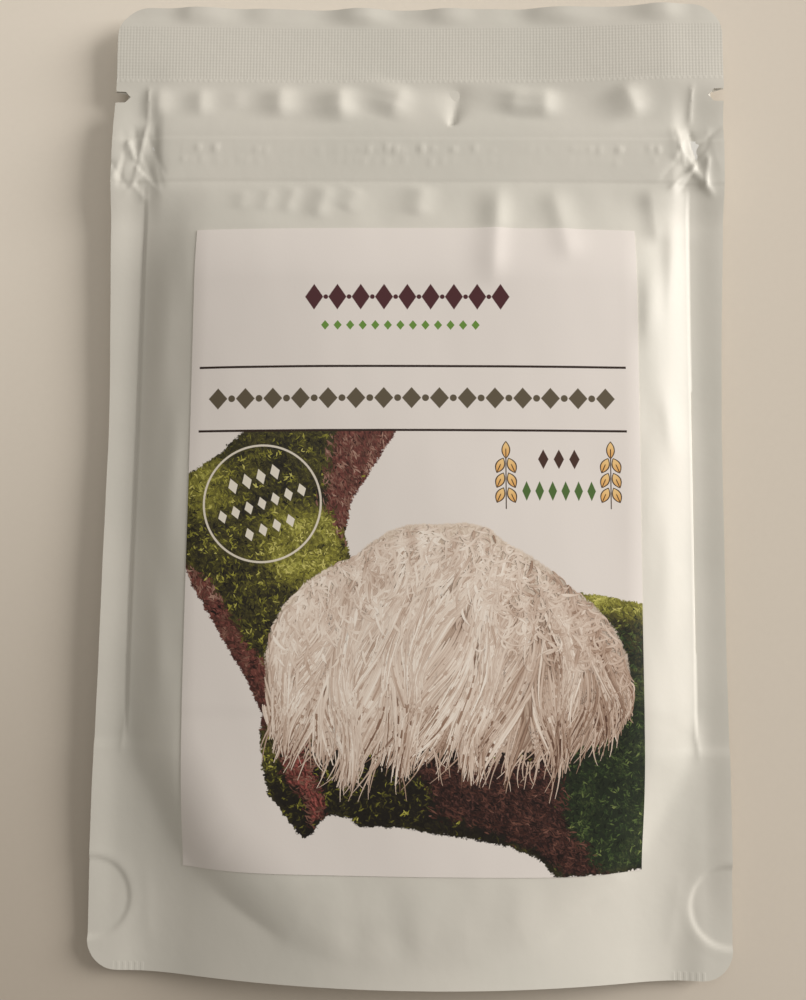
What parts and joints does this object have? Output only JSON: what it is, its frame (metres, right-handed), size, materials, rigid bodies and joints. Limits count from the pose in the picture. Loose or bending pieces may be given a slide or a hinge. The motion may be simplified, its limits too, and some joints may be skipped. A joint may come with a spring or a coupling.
{
  "type": "filled stand-up pouch",
  "caption": "Flat-lying, heat-sealed stand-up pouch of powder with a folded bottom gusset, inner press zip, side tear notches and a rectangular paper front label.",
  "frame": {"origin": "middle of the pouch's footprint, on the surface that its back lies on", "axes": "+Y from the bottom gusset to the zip end, +Z out of the labelled front, +X to the right of someone reading the label"},
  "size_m": [0.15, 0.233, 0.0129],
  "materials": {
    "foil": "satin off-white foil laminate, softly crinkled, with a fine diamond crimp in the top seal",
    "zip": "translucent white press zip",
    "label": "smooth coated white paper with a printed picture of a mushroom on a mossy trunk",
    "powder": "fine dry tan powder"
  },
  "bodies": {
    "root": {"front_panel": "foil", "back_panel": "foil", "bottom_gusset": "foil", "zip_front_strip": "zip", "zip_back_strip": "zip", "front_label": "label", "powder_fill": "powder"}
  },
  "joints": []
}
